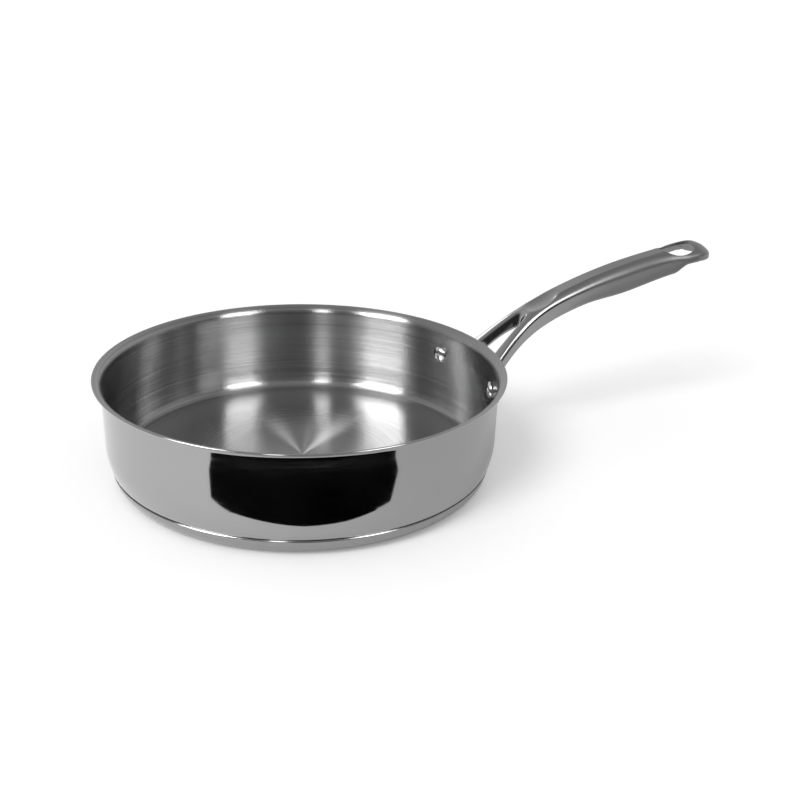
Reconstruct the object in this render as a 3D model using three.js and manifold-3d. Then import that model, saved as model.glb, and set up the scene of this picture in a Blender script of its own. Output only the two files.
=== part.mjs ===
// Braising pan: a drawn stainless body on a heat-spreading base, with one long cast handle.
// The handle forks at its root, and each prong ends in a foot riveted through the pan's wall.
// Millimetres, +Z up. The origin is the middle of the base on the plane that the pan stands on,
// and the handle points along +X.

import * as THREE from "three";
import { mergeVertices } from "three/addons/utils/BufferGeometryUtils.js";
import Module from "manifold-3d";

const wasm = await Module();
wasm.setup();

const { degToRad, lerp, smoothstep } = THREE.MathUtils;

// Body: one drawn sheet with a belly, a slightly drafted wall and a pouring lip.
const wallRadius = 122.1; // outside of the wall where the lip starts
const bodyHeight = 67.5; // standing plane to the top of the lip
const sheet = 1; // thickness of the drawn sheet
const wallDraft = degToRad(1);
const bellyStart = 27.9; // height where the straight wall turns into the belly
const bellyRadius = 46.4;
const cornerRadius = 9; // where the belly turns under into the floor
const lipRadius = 2.6; // of the bend into the lip, on its underside
const lipSweep = degToRad(72);
const lipFlange = 3; // straight run of the lip past the bend

// Base: an aluminium disc under the floor, closed in by a pressed steel cap.
const coreThickness = 5.8;
const coreChamfer = 1;
const capSheet = 0.8;
const seamAngle = degToRad(29); // where the cap's edge meets the body's corner
const fitGap = 0.3; // clearance between pieces that seat on each other

// Rivets: one through each prong's foot, seen as domed heads inside the pan.
const rivetDrop = 19.4; // below the top of the lip
const rivetAngle = degToRad(16.9); // to each side of the handle's middle plane
const shankRadius = 3.2;
const domeRadius = 5.6;
const domeHeight = 2.6;
const outerHeadRadius = 5.2;
const outerHeadHeight = 1.5;

// Feet: pads on the wall that run from each rivet to the end of its prong.
const footThickness = 3.2;
const footRivetEnd = 9.2; // radius of the pad round the rivet
const footProngEnd = 8; // radius of the pad under the prong
const footProngAngle = degToRad(9.8);
const footProngDrop = 3.6; // of the pad's inner end below the rivet

// Handle: sections across the bar, each placed by its distance out from the wall and its rise
// above the rivets. strip, ridge and edge are half widths, of the flat strip on the crown, at the
// side ridge and at the lower edge. sag, depth and keel are how far the ridge, the lower edge and
// the middle of the underside lie below the crown. groove is the hollow in the side.
const handleReach = 182.5; // from the wall to the tip of the tail
const tailLength = 36.5; // from the end of the grip to the tip
const edgeRound = 1.6; // bevel along the lower edge
const sections = {
  wallFoot: {
    out: -8, rise: -3, strip: 26.5, ridge: 27.5, edge: 26.3,
    sag: 0.3, depth: 11, keel: 2, groove: 0.3,
  },
  forkMouth: {
    out: 10, rise: 12.3, strip: 18.2, ridge: 19.2, edge: 18,
    sag: 0.3, depth: 10.6, keel: 2, groove: 0.5,
  },
  forkWaist: {
    out: 24, rise: 24.1, strip: 13.4, ridge: 14.9, edge: 13.9,
    sag: 0.5, depth: 10.4, keel: 3, groove: 0.7,
  },
  forkRoot: {
    out: 36, rise: 33.9, strip: 8, ridge: 12.2, edge: 11.7,
    sag: 1.2, depth: 11, keel: 8, groove: 0.9,
  },
  thumbRest: {
    out: 50, rise: 43.6, strip: 5, ridge: 10.8, edge: 10.7,
    sag: 3.1, depth: 14.2, keel: 12.7, groove: 1.2,
  },
  gripNeck: {
    out: 78, rise: 54.5, strip: 4.6, ridge: 10.2, edge: 10.7,
    sag: 3.6, depth: 15.6, keel: 14.3, groove: 1.3,
  },
  gripMiddle: {
    out: 108, rise: 61.2, strip: 4.6, ridge: 10.6, edge: 11.5,
    sag: 3.5, depth: 16.1, keel: 14.5, groove: 1,
  },
  gripEnd: {
    out: handleReach - tailLength, rise: 68.2, strip: 4, ridge: 11.2, edge: 12.3,
    sag: 4.2, depth: 15.1, keel: 12.6, groove: 0.4,
  },
  tail: {
    out: handleReach + edgeRound, rise: 73.6, strip: 2.5, ridge: 12, edge: 13.1,
    sag: 6.8, depth: 14.6, keel: 10.6, groove: 0.1,
  },
};
const crownBend = 1.2; // power of the curve from the strip down to the ridge
const midway = 0.5;
const sectionPitch = 4;
const sideShares = [0.3, 0.65, 1]; // points down the side, as shares of its height

// Tail: a thin tongue with a round end that bends down, each length measured from the tip.
const tailCorner = 12;
const tailDroopLength = 14.5;
const tailDroop = 7; // of the crown at the tip
const tailUnderDroop = 3; // of the underside at the tip
const tailStepStart = 33.5; // the underside steps up from here
const tailStepEnd = 23.5;
const tailStepRise = 4;

// Fork: a tapered gap with a round end between the prongs.
const forkReach = 35; // from the wall to the round end of the gap
const forkEndRadius = 4.6;
const forkTaper = degToRad(12.7);

// Thumb rest: an oval hollow in the crown, behind the fork.
const thumbOut = 49;
const thumbRise = 48.7;
const thumbLength = 37;
const thumbWidth = 31;
const thumbDepth = 15;
const thumbTilt = degToRad(30);

// Hanging hole: egg-shaped, round towards the tip and longer towards the pan.
const holeInset = 24; // from the tip to the hole's widest place
const holeRadius = 10.2;
const holeLong = 13.5; // from its widest place to its end near the pan

const roundSteps = 64; // facets round the pan
const arcSteps = 3;
const rivetSteps = 24;
const weld = 1e-3;

const quarterTurn = Math.PI / 2;

// A closed geometry as a solid that can be joined and cut.
function solid(geometry) {
  const bare = new THREE.BufferGeometry().setAttribute("position", geometry.getAttribute("position"));
  bare.setIndex(geometry.getIndex());
  const merged = mergeVertices(bare, weld);
  const corners = Array.from(merged.index.array);
  const triVerts = [];
  for (let i = 0; i < corners.length; i += 3) {
    const [a, b, c] = corners.slice(i, i + 3);
    if (a !== b && b !== c && c !== a) triVerts.push(a, b, c);
  }
  const vertProperties = new Float32Array(merged.getAttribute("position").array);
  return new wasm.Manifold(
    new wasm.Mesh({ numProp: 3, vertProperties, triVerts: new Uint32Array(triVerts) }),
  );
}

function geometryOf(made) {
  const { vertProperties, triVerts } = made.getMesh();
  const geometry = new THREE.BufferGeometry();
  geometry.setAttribute("position", new THREE.BufferAttribute(vertProperties, 3));
  geometry.setIndex(new THREE.BufferAttribute(triVerts, 1));
  return geometry;
}

function piece(name, made, colour, roughness, metalness = 1) {
  const geometry = geometryOf(made);
  geometry.computeVertexNormals();
  const material = new THREE.MeshStandardMaterial({ color: colour, roughness, metalness });
  const mesh = new THREE.Mesh(geometry, material);
  mesh.name = name;
  return mesh;
}

// A profile of radius and height turned round the Z axis.
function turned(profile, steps = roundSteps) {
  const kept = profile.filter((p, i) => i === 0 || p.distanceTo(profile[i - 1]) > weld);
  return new THREE.LatheGeometry(kept, steps).rotateX(quarterTurn);
}

// A skin through rings of equal point count, closed by a fan at each end.
function lofted(rings) {
  const count = rings[0].length;
  const points = rings.flat();
  const index = [];
  for (let r = 0; r + 1 < rings.length; r += 1) {
    for (let i = 0; i < count; i += 1) {
      const a = r * count + i;
      const b = r * count + ((i + 1) % count);
      index.push(a, a + count, b, b, a + count, b + count);
    }
  }
  const last = (rings.length - 1) * count;
  for (let i = 1; i + 1 < count; i += 1) {
    index.push(0, i, i + 1);
    index.push(last, last + i + 1, last + i);
  }
  return new THREE.BufferGeometry().setFromPoints(points).setIndex(index);
}

// Body profile: the arcs are tangent to each other, so each centre follows from the next.
const lipEnd = Math.PI - wallDraft - lipSweep;
const lipAlong = new THREE.Vector2(Math.sin(lipEnd), -Math.cos(lipEnd));
const lipAcross = new THREE.Vector2(Math.cos(lipEnd), Math.sin(lipEnd));
const lipRise = (lipRadius + sheet / 2) * lipAcross.y + lipFlange * lipAlong.y;
const lipStart = bodyHeight - sheet / 2 - lipRise;
const lipCentre = new THREE.Vector2(wallRadius + lipRadius, lipStart);
const floorLift = capSheet + coreThickness + 2 * fitGap;

// Outside radius of the straight wall at a height.
const wallAt = (height) => wallRadius - (lipStart - height) * Math.tan(wallDraft);

const bellyCentre = new THREE.Vector2(
  wallAt(bellyStart) - bellyRadius * Math.cos(wallDraft),
  bellyStart + bellyRadius * Math.sin(wallDraft),
);
const cornerRise = floorLift + cornerRadius;
const cornerTurn = Math.asin((bellyCentre.y - cornerRise) / (bellyRadius - cornerRadius));
const cornerCentre = new THREE.Vector2(
  bellyCentre.x + (bellyRadius - cornerRadius) * Math.cos(cornerTurn),
  cornerRise,
);

// The end of the lip at a distance from the centre of its bend.
function lipPoint(reach) {
  return lipCentre.clone().addScaledVector(lipAcross, reach).addScaledVector(lipAlong, lipFlange);
}

// One side of the drawn sheet, from the middle of the floor to the lip's edge.
// inset is how far that side lies inside the outer one.
function bodySide(inset) {
  const path = new THREE.Path();
  path.moveTo(0, floorLift + inset);
  path.lineTo(cornerCentre.x, floorLift + inset);
  path.absarc(cornerCentre.x, cornerCentre.y, cornerRadius - inset, -quarterTurn, -cornerTurn);
  path.absarc(bellyCentre.x, bellyCentre.y, bellyRadius - inset, -cornerTurn, -wallDraft);
  path.absarc(lipCentre.x, lipCentre.y, lipRadius + inset, Math.PI - wallDraft, lipEnd, true);
  return [...path.getPoints(arcSteps), lipPoint(lipRadius + inset)];
}

function bodyShell() {
  const edge = lipPoint(lipRadius + sheet / 2);
  const rolled = new THREE.Path();
  rolled.absarc(edge.x, edge.y, sheet / 2, lipEnd - Math.PI, lipEnd);
  const profile = [...bodySide(0), ...rolled.getPoints(arcSteps), ...bodySide(sheet).reverse()];
  return solid(turned(profile));
}

// The room that the body takes, grown by a clearance and filled to the axis.
function bodyRoom(clearance) {
  const top = new THREE.Vector2(0, bodyHeight + clearance);
  return solid(turned([...bodySide(-clearance), top]));
}

// Where two circles in the profile plane cross, on the side away from the axis.
function crossing(centreA, radiusA, centreB, radiusB) {
  const gap = centreB.clone().sub(centreA);
  const reach = gap.length();
  const along = (reach * reach + radiusA * radiusA - radiusB * radiusB) / (2 * reach);
  const across = Math.sqrt(radiusA * radiusA - along * along);
  const unit = gap.divideScalar(reach);
  const side = new THREE.Vector2(unit.y, -unit.x);
  return centreA.clone().addScaledVector(unit, along).addScaledVector(side, across);
}

// Base cap: a shallow dish whose edge stops just short of the body's corner.
const seam = new THREE.Vector2(Math.cos(seamAngle), -Math.sin(seamAngle))
  .multiplyScalar(cornerRadius)
  .add(cornerCentre);
const capCorner = seam.y - fitGap;
const capCentre = new THREE.Vector2(seam.x - capCorner, capCorner);

// One side of the cap, from its middle to its edge.
function capSide(inset) {
  const radius = capCorner - inset;
  const edge = crossing(capCentre, radius, cornerCentre, cornerRadius + fitGap);
  const path = new THREE.Path();
  const edgeAngle = edge.sub(capCentre).angle() - 2 * Math.PI;
  path.moveTo(0, inset);
  path.lineTo(capCentre.x, inset);
  path.absarc(capCentre.x, capCentre.y, radius, -quarterTurn, edgeAngle);
  return path.getPoints(arcSteps);
}

function baseCap() {
  return solid(turned([...capSide(0), ...capSide(capSheet).reverse()]));
}

// Aluminium core: a plain disc with chamfered edges between the cap and the floor.
function baseCore() {
  const low = capSheet + fitGap;
  const high = low + coreThickness;
  const radius = capCentre.x + coreChamfer;
  const profile = [
    new THREE.Vector2(0, low),
    new THREE.Vector2(radius - coreChamfer, low),
    new THREE.Vector2(radius, low + coreChamfer),
    new THREE.Vector2(radius, high - coreChamfer),
    new THREE.Vector2(radius - coreChamfer, high),
    new THREE.Vector2(0, high),
  ];
  return solid(turned(profile));
}

// Rivet seats
const rivetHeight = bodyHeight - rivetDrop;
const rivetWall = wallAt(rivetHeight);
const footInside = rivetWall + fitGap;
const footOutside = footInside + footThickness;

// Lays a solid made along +Z on the radius through a rivet.
function onRivetAxis(geometry, side) {
  geometry.rotateY(quarterTurn).rotateZ(side * rivetAngle);
  return geometry.translate(0, 0, rivetHeight);
}

// Rivet: a domed head on the inside of the wall, a shank and a low head on the foot.
// Heights along its axis are distances from the pan's axis.
function rivet(side) {
  const wallCurve = (domeRadius * domeRadius) / (2 * rivetWall) + domeRadius * Math.tan(wallDraft);
  const domeSeat = rivetWall - sheet - fitGap - wallCurve;
  const headSeat = footOutside + fitGap;
  const profile = new THREE.Path();
  profile.moveTo(0, domeSeat - domeHeight);
  profile.quadraticCurveTo(domeRadius, domeSeat - domeHeight, domeRadius, domeSeat);
  profile.lineTo(shankRadius, domeSeat);
  profile.lineTo(shankRadius, headSeat);
  profile.lineTo(outerHeadRadius, headSeat);
  profile.quadraticCurveTo(outerHeadRadius, headSeat + outerHeadHeight, 0, headSeat + outerHeadHeight);
  return solid(onRivetAxis(turned(profile.getPoints(2 * arcSteps), rivetSteps), side));
}

function rivetHole(side) {
  const reach = footOutside + domeHeight;
  const start = rivetWall - domeHeight;
  const radius = shankRadius + fitGap;
  const bore = new THREE.CylinderGeometry(radius, radius, reach - start, rivetSteps);
  bore.rotateX(quarterTurn).translate(0, 0, (reach + start) / 2);
  return solid(onRivetAxis(bore, side));
}

// Foot of a prong: a pad with two round ends, bent to the wall.
// Its outline is drawn on the plane that faces the rivet, with x along the wall and y up.
function foot(side) {
  const run = -side * rivetWall * Math.sin(rivetAngle - footProngAngle);
  const lean = Math.atan2(-footProngDrop, run);
  const taper = Math.asin((footRivetEnd - footProngEnd) / Math.hypot(run, footProngDrop));
  const spread = quarterTurn - taper;
  const outline = new THREE.Shape();
  outline.absarc(0, 0, footRivetEnd, lean + spread, lean - spread + 2 * Math.PI);
  outline.absarc(run, -footProngDrop, footProngEnd, lean - spread, lean + spread);
  const blank = new THREE.ExtrudeGeometry(outline, {
    depth: footOutside,
    bevelEnabled: false,
    curveSegments: 2 * arcSteps,
  });
  blank.translate(0, 0, footOutside / 2).rotateX(quarterTurn).rotateZ(quarterTurn);
  blank.rotateZ(side * rivetAngle).translate(0, 0, rivetHeight);
  const skin = new THREE.CylinderGeometry(footOutside, footOutside, bodyHeight, roundSteps);
  skin.rotateX(quarterTurn).translate(0, 0, rivetHeight);
  return solid(blank).intersect(solid(skin));
}

// Handle sections blend smoothly from one to the next along the bar.
const sectionList = Object.values(sections);
const fields = ["rise", "strip", "ridge", "sag", "edge", "depth", "keel", "groove"];
const blend = new THREE.CubicInterpolant(
  sectionList.map((s) => s.out),
  sectionList.flatMap((s) => fields.map((field) => s[field])),
  fields.length,
  new Float32Array(fields.length),
);

// The ring of points round the bar at one distance out from the wall.
function handleRing(out) {
  const [rise, strip, ridge, sag, edge, depth, keel, groove] = blend.evaluate(out);
  const toTip = handleReach - out;
  const step = tailStepRise * (1 - smoothstep(toTip, tailStepEnd, tailStepStart));
  const droop = Math.max(0, 1 - toTip / tailDroopLength);
  const crown = rivetHeight + rise - tailDroop * droop * droop;
  const lift = step + (tailDroop - tailUnderDroop) * droop * droop;
  const low = depth - lift;
  const half = [[strip, 0]];
  half.push([lerp(strip, ridge, midway), sag * midway ** crownBend]);
  half.push([ridge, sag]);
  for (const share of sideShares) {
    const hollow = groove * Math.sin(Math.PI * share);
    half.push([lerp(ridge, edge, share) - hollow, lerp(sag, low - edgeRound, share)]);
  }
  half.push([edge - edgeRound, low]);
  const place = ([y, drop]) => new THREE.Vector3(wallRadius + out, y, crown - drop);
  const mirrored = half.map(([y, drop]) => [-y, drop]).reverse();
  return [[0, 0], ...half, [0, keel - lift], ...mirrored].map(place);
}

function handleBar() {
  const start = sectionList[0].out;
  const end = sectionList.at(-1).out;
  const count = Math.round((end - start) / sectionPitch);
  const rings = Array.from({ length: count + 1 }, (_, i) => handleRing(lerp(start, end, i / count)));
  return solid(lofted(rings)).intersect(tailOutline());
}

// An outline in plan, extruded right through the handle's height.
function planCut(outline) {
  const height = 2 * (bodyHeight + handleReach);
  const cut = new THREE.ExtrudeGeometry(outline, {
    depth: height,
    bevelEnabled: false,
    curveSegments: 4 * arcSteps,
  });
  return solid(cut.translate(wallRadius, 0, -bodyHeight));
}

// The handle in plan: open towards the pan, with round corners at the tip of the tail.
function tailOutline() {
  const half = sections.wallFoot.ridge + edgeRound;
  const tip = sections.tail.edge;
  const shoulder = sections.gripEnd.out;
  const outline = new THREE.Shape();
  outline.moveTo(-wallRadius, -half);
  outline.lineTo(shoulder, -half);
  outline.lineTo(shoulder, -tip);
  outline.absarc(handleReach - tailCorner, -tip + tailCorner, tailCorner, -quarterTurn, 0);
  outline.absarc(handleReach - tailCorner, tip - tailCorner, tailCorner, 0, quarterTurn);
  outline.lineTo(shoulder, tip);
  outline.lineTo(shoulder, half);
  outline.lineTo(-wallRadius, half);
  return planCut(outline);
}

function forkGap() {
  const centre = forkReach - forkEndRadius;
  const spread = quarterTurn - forkTaper;
  const rootX = centre + forkEndRadius * Math.cos(spread);
  const rootY = forkEndRadius * Math.sin(spread);
  const mouthX = sections.wallFoot.out;
  const mouthY = rootY + (rootX - mouthX) * Math.tan(forkTaper);
  const outline = new THREE.Shape();
  outline.moveTo(mouthX, mouthY);
  outline.lineTo(mouthX, -mouthY);
  outline.absarc(centre, 0, forkEndRadius, -spread, spread);
  return planCut(outline);
}

function hangingHole() {
  const widest = handleReach - holeInset;
  const outline = new THREE.Shape();
  outline.absarc(widest, 0, holeRadius, -quarterTurn, quarterTurn);
  outline.absellipse(widest, 0, holeLong, holeRadius, quarterTurn, 3 * quarterTurn);
  return planCut(outline);
}

function thumbHollow() {
  const bowl = new THREE.SphereGeometry(0.5, 8 * arcSteps, 4 * arcSteps);
  bowl.scale(thumbLength, thumbWidth, thumbDepth).rotateY(-thumbTilt);
  return solid(bowl.translate(wallRadius + thumbOut, 0, rivetHeight + thumbRise));
}

function castHandle() {
  const bar = handleBar().subtract(forkGap());
  const feet = foot(1).add(foot(-1));
  const cast = bar.add(feet).subtract(bodyRoom(fitGap));
  const finished = cast.subtract(hangingHole()).subtract(thumbHollow());
  return finished.subtract(rivetHole(1)).subtract(rivetHole(-1));
}

const pan = new THREE.Group();
pan.add(
  piece("pan_body", bodyShell().subtract(rivetHole(1)).subtract(rivetHole(-1)), 0xb4b4b4, 0.2),
  piece("base_core", baseCore(), 0xa8aaac, 0.45),
  piece("base_cap", baseCap(), 0xaeaeae, 0.22),
  piece("handle", castHandle(), 0x8f8f8f, 0.32),
  piece("rivet_left", rivet(1), 0xc8c8c8, 0.15),
  piece("rivet_right", rivet(-1), 0xc8c8c8, 0.15),
);

export default pan;
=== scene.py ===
"""Braising pan: a drawn stainless body on a bonded base, with a long forked cast handle."""

import math

import bpy
import numpy as np
from bpy.props import FloatProperty, FloatVectorProperty, IntProperty, PointerProperty
from mathutils import Matrix, Vector


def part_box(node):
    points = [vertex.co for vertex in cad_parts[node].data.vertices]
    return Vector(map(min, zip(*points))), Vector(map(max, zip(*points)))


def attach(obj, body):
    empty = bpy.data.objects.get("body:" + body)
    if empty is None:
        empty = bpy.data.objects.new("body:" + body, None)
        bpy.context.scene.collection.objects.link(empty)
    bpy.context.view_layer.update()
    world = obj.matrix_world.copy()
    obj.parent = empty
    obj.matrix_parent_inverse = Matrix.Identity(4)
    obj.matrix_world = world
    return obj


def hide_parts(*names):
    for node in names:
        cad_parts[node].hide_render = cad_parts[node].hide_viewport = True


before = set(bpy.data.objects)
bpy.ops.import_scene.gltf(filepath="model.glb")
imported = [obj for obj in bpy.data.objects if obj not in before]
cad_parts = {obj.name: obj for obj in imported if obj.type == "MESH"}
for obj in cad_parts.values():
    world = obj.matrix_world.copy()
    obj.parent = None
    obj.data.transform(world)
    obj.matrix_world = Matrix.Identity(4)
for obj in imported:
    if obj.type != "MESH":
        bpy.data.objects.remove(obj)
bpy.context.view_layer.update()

bl_info = {
    "name": "Braising pan",
    "version": (1, 0, 0),
    "blender": (4, 5, 0),
    "location": "3D View > Sidebar > Pan",
    "description": "Builds a braising pan with a forked handle round its packed solids",
    "category": "Add Mesh",
}

MM = 0.001
TINY = 1e-6

# Most noise lies between these values, which a Map Range node spreads over its whole range.
NOISE_SPAN = {"From Min": 0.3, "From Max": 0.7}

# Points on each arc of the turned profiles, the longest step between points, and facets round a
# rivet.
CORNER_STEPS = 14
BELLY_STEPS = 16
LIP_STEPS = 14
ROLL_STEPS = 9
CAP_STEPS = 12
DOME_STEPS = 12
PROFILE_PITCH = 4 * MM
RIVET_STEPS = 48

# How far the spun rings run up the floor's corner and up the cap's rounded side.
FLOOR_MARGIN = 2 * MM
SIDE_MARGIN = 1 * MM


def linear(code):
    """An sRGB hex colour as linear red, green, blue and alpha."""
    shares = [int(code[i:i + 2], 16) / 255 for i in (0, 2, 4)]
    return [s / 12.92 if s <= 0.04045 else ((s + 0.055) / 1.055) ** 2.4 for s in shares] + [1.0]


def length(name, description, millimetres):
    """A length that a user can set, given in millimetres."""
    return FloatProperty(name=name, description=description, default=millimetres * MM,
                         min=0.0, precision=4, unit="LENGTH", subtype="DISTANCE")


def angle(name, description, degrees):
    """An angle that a user can set, given in degrees."""
    return FloatProperty(name=name, description=description, default=math.radians(degrees),
                         unit="ROTATION", subtype="ANGLE")


def colour(name, description, code):
    """A colour that a user can set, given as sRGB hex."""
    return FloatVectorProperty(name=name, description=description, default=linear(code),
                               size=4, min=0.0, max=1.0, subtype="COLOR")


class PanSizes(bpy.types.PropertyGroup):
    """Sizes of the drawn body, the bonded base and the rivets."""

    wall_radius: length("Wall radius", "Outside of the wall where the lip starts", 122.1)
    height: length("Height", "Standing plane to the top of the lip", 67.45)
    sheet: length("Sheet", "Thickness of the drawn sheet", 1)
    draft: angle("Draft", "Lean of the wall", 1)
    belly_start: length("Belly start", "Height where the wall turns into the belly", 27.9)
    belly_radius: length("Belly radius", "Radius of the belly", 46.4)
    corner_radius: length("Corner radius", "Where the belly turns under into the floor", 9)
    lip_radius: length("Lip radius", "Bend into the lip, on its underside", 4.4)
    lip_sweep: angle("Lip sweep", "How far the lip bends over", 72)
    lip_flange: length("Lip flange", "Straight run of the lip past its bend", 1.65)
    core_thickness: length("Core thickness", "Thickness of the heat spreader", 5.8)
    cap_sheet: length("Cap sheet", "Thickness of the base cap", 0.8)
    seam_angle: angle("Seam angle", "Where the cap's edge meets the body's corner", 29)
    fit_gap: length("Fit gap", "Clearance between pieces that seat on each other", 0.3)
    steps_round: IntProperty(name="Steps round", description="Facets round the pan",
                             default=320, min=32, max=512)
    rivet_drop: length("Rivet drop", "Rivets below the top of the lip", 19.35)
    rivet_angle: angle("Rivet angle", "Rivets to each side of the handle", 16.9)
    rivet_head: length("Rivet head", "Radius of the domed head", 5.6)
    rivet_dome: length("Rivet dome", "Height of the domed head", 2.6)
    rivet_shank: length("Rivet shank", "Radius of the shank", 3.2)
    outer_head: length("Outer head", "Radius of the head on the handle's foot", 5.2)
    outer_dome: length("Outer dome", "Height of the head on the handle's foot", 1.5)


class HandleSizes(bpy.types.PropertyGroup):
    """Sizes of the cast handle."""

    reach: length("Reach", "From the wall to the tip of the tail", 182.4)
    edge_round: length("Edge round", "Bevel along the lower edge", 1.6)
    tail_corner: length("Tail corner", "Rounding of the tip in plan", 15)
    droop_length: length("Droop length", "Stretch of the tip that bends down", 14.5)
    droop: length("Droop", "How far the crown bends down at the tip", 7)
    under_droop: length("Under droop", "How far the underside bends down at the tip", 3)
    step_start: length("Step start", "Where the underside steps up, from the tip", 33.5)
    step_end: length("Step end", "Where the step ends, from the tip", 23.5)
    step_rise: length("Step rise", "How far the underside steps up", 4)
    fork_reach: length("Fork reach", "From the wall to the round end of the fork", 35)
    fork_end: length("Fork end", "Radius of the round end of the fork", 4.9)
    fork_taper: angle("Fork taper", "Lean of each side of the fork", 13)
    fork_draft: angle("Fork draft", "How far the gap's sides open upwards", 15)
    fork_middle: length("Fork middle", "Depth below the crown where the gap has its width", 5)
    thumb_out: length("Thumb out", "Middle of the thumb rest, out from the wall", 49)
    thumb_rise: length("Thumb rise", "Middle of the thumb rest, above the rivets", 48.7)
    thumb_length: length("Thumb length", "Length of the hollowing oval", 37)
    thumb_width: length("Thumb width", "Width of the hollowing oval", 31)
    thumb_depth: length("Thumb depth", "Depth of the hollowing oval", 15)
    thumb_tilt: angle("Thumb tilt", "Lean of the thumb rest", 30)
    hole_inset: length("Hole inset", "From the tip to the hanging hole's widest place", 24)
    hole_radius: length("Hole radius", "Half the width of the hanging hole", 11.6)
    hole_long: length("Hole long", "From the hole's widest place to its end near the pan", 12.5)
    hole_draft: angle("Hole draft", "How far the hole's sides open upwards", 10)
    hole_middle: length("Hole middle", "Depth below the crown where the hole has its width", 5)
    tail_plate: length("Tail plate", "Thickness of the hollowed tail under its crown", 3)
    hollow_start: length("Hollow start", "Where the tail is hollow all through, from the tip", 38)
    hollow_end: length("Hollow end", "Where the tip is solid again, from the tip", 12)
    tail_skirt: length("Tail skirt", "Width of the edge that hangs round the hollow", 1.6)
    foot: length("Foot", "Thickness of the foot on the wall", 3.2)
    foot_rivet_end: length("Foot rivet end", "Radius of the foot round the rivet", 9.2)
    foot_prong_end: length("Foot prong end", "Radius of the foot under the prong", 8)
    foot_prong_angle: angle("Foot prong angle", "Inner end of the foot", 9.8)
    foot_prong_drop: length("Foot prong drop", "Inner end of the foot below the rivet", 3.6)
    mesh_pitch: length("Mesh pitch", "Spacing of the points on the casting's skin", 0.53)


class Finishes(bpy.types.PropertyGroup):
    """Colours of the finishes."""

    polished: colour("Polished", "Mirror polished stainless steel outside the pan", "AAAAAA")
    brushed: colour("Brushed", "Brushed stainless steel inside the wall", "A8A8A8")
    spun: colour("Spun", "Spun stainless steel of the cooking floor", "B8B8B8")
    cap: colour("Cap", "Polished stainless steel of the base cap", "A2A2A2")
    prong: colour("Prong", "Polished cast stainless steel of the prongs", "AAAAAA")
    grip: colour("Grip", "Satin cast stainless steel of the grip", "969696")
    rivet: colour("Rivet", "Polished stainless steel of the rivets", "D8D8D8")
    core: colour("Core", "Rolled aluminium of the heat spreader", "A9ABAD")


class StageLook(bpy.types.PropertyGroup):
    """Floor, lights and camera."""

    floor: colour("Floor", "Pale studio floor", "F4F4F4")
    card: colour("Card", "Dark studio card that the outside reflects", "161616")
    glow: FloatProperty(name="Glow", description="Light of the paper itself, to the camera",
                        default=0.22, min=0.0, max=1.0)
    lens: FloatProperty(name="Lens", description="Focal length in millimetres",
                        default=55.19, min=1.0, unit="CAMERA")


def add(tree, kind, inputs=None, **options):
    """Adds a node with its options, and sets or links its input sockets."""
    made = tree.nodes.new(kind)
    for name, value in options.items():
        setattr(made, name, value)
    for key, value in (inputs or {}).items():
        if isinstance(value, bpy.types.NodeSocket):
            tree.links.new(value, made.inputs[key])
        else:
            made.inputs[key].default_value = value
    return made


def begin(name):
    """A new material with an empty node tree."""
    material = bpy.data.materials.new(name)
    material.use_nodes = True
    material.node_tree.nodes.clear()
    return material, material.node_tree


def turning_marks(tree, round_pan, across):
    """Noise that is drawn out round the pan's axis, as a brush or a lathe leaves it.

    round_pan is how many marks follow each other in a turn, and across their spacing."""
    place = add(tree, "ShaderNodeTexCoord").outputs["Object"]
    flat = add(tree, "ShaderNodeVectorMath", {0: place, 1: (1, 1, 0)}, operation="MULTIPLY")
    spoke = add(tree, "ShaderNodeVectorMath", {0: flat.outputs[0]}, operation="NORMALIZE")
    turn = add(tree, "ShaderNodeVectorMath",
               {0: spoke.outputs[0], "Scale": round_pan / math.tau}, operation="SCALE")
    radius = add(tree, "ShaderNodeVectorMath", {0: flat.outputs[0]}, operation="LENGTH")
    height = add(tree, "ShaderNodeSeparateXYZ", {0: place})
    along = add(tree, "ShaderNodeMath", {0: radius.outputs["Value"], 1: height.outputs["Z"]})
    fine = add(tree, "ShaderNodeMath", {0: along.outputs[0], 1: 1 / across}, operation="MULTIPLY")
    line = add(tree, "ShaderNodeCombineXYZ", {"Z": fine.outputs[0]})
    mark = add(tree, "ShaderNodeVectorMath", {0: turn.outputs[0], 1: line.outputs[0]})
    return add(tree, "ShaderNodeTexNoise", {"Vector": mark.outputs[0], "Scale": 1.0,
                                            "Detail": 3.0, "Roughness": 0.6})


def round_axis(tree):
    """The direction round the pan's axis at each point."""
    place = add(tree, "ShaderNodeTexCoord").outputs["Object"]
    return add(tree, "ShaderNodeVectorMath", {0: (0, 0, 1), 1: place}, operation="CROSS_PRODUCT")


def polished_steel(look):
    """Stainless steel sheet, buffed to a mirror on the outside of the pan.

    The buffing wheel leaves a faint haze in rings, and drawing leaves the sheet in waves of about
    14 mm, a few hundredths deep, that make a reflected edge wander."""
    material, tree = begin("polished_stainless_steel")
    marks = turning_marks(tree, round_pan=40, across=1.4 * MM)
    haze = add(tree, "ShaderNodeMapRange", {"Value": marks.outputs["Fac"], **NOISE_SPAN,
                                            "To Min": 0.05, "To Max": 0.09})
    place = add(tree, "ShaderNodeTexCoord").outputs["Object"]
    waves = add(tree, "ShaderNodeTexNoise", {"Vector": place, "Scale": 1 / (14 * MM),
                                             "Detail": 1.0})
    bump = add(tree, "ShaderNodeBump", {"Height": waves.outputs["Fac"], "Strength": 1.0,
                                        "Distance": 0.03 * MM})
    steel = add(tree, "ShaderNodeBsdfPrincipled",
                {"Base Color": look.polished, "Metallic": 1.0, "Roughness": haze.outputs[0],
                 "Normal": bump.outputs[0]})
    add(tree, "ShaderNodeOutputMaterial", {"Surface": steel.outputs[0]})
    return material


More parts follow.
